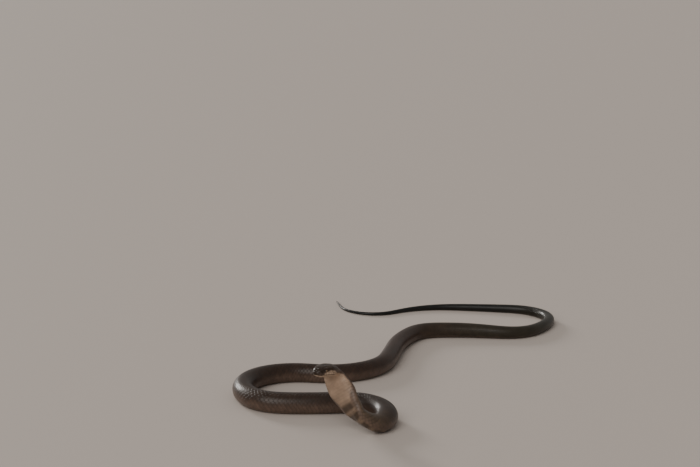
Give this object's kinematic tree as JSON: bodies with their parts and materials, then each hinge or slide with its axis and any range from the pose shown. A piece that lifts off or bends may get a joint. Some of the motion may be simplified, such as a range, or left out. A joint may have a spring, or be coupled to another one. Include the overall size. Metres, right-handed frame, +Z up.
{
  "type": "king cobra model",
  "caption": "Life-size still model of an adult king cobra lying in loose bends, its forebody raised with the throat to the front.",
  "frame": {"origin": "on the floor, under the middle of the whole model's box", "axes": "+Z up, +Y from the raised throat back towards the tail, +X to the right as the throat is seen from the front"},
  "size_m": [0.8988, 1.2814, 0.1676],
  "materials": {
    "body_skin": "smooth overlapping scales, olive brown, soft sheen",
    "tail_skin": "smooth overlapping scales, near black, soft sheen",
    "throat_skin": "broad belly scales, tan with dark cross bars lower down",
    "head_skin": "large smooth head shields, brown with dark seams",
    "eye": "wet gloss, dark bronze iris and round pupil"
  },
  "bodies": {
    "root": {"tail_tip": "tail_skin", "tail_hook_outer": "tail_skin", "tail_hook_inner": "tail_skin", "tail_middle": "tail_skin", "tail_base": "tail_skin", "torso_far_bend_out": "body_skin", "torso_far_bend_back": "body_skin", "torso_rear_bend_outer": "body_skin", "torso_rear_bend_inner": "body_skin", "torso_rear_run": "body_skin", "torso_s_bend_upper": "body_skin", "torso_s_run": "body_skin", "torso_s_bend_lower": "body_skin", "torso_middle_run": "body_skin", "torso_left_bend_upper": "body_skin", "torso_left_bend_side": "body_skin", "torso_left_bend_lower": "body_skin", "torso_front_run": "body_skin", "torso_right_bend_outer": "body_skin", "torso_right_bend_inner": "body_skin", "neck_base": "throat_skin", "neck_hood": "throat_skin", "head": "head_skin", "eye_left": "eye", "eye_right": "eye"}
  },
  "joints": []
}
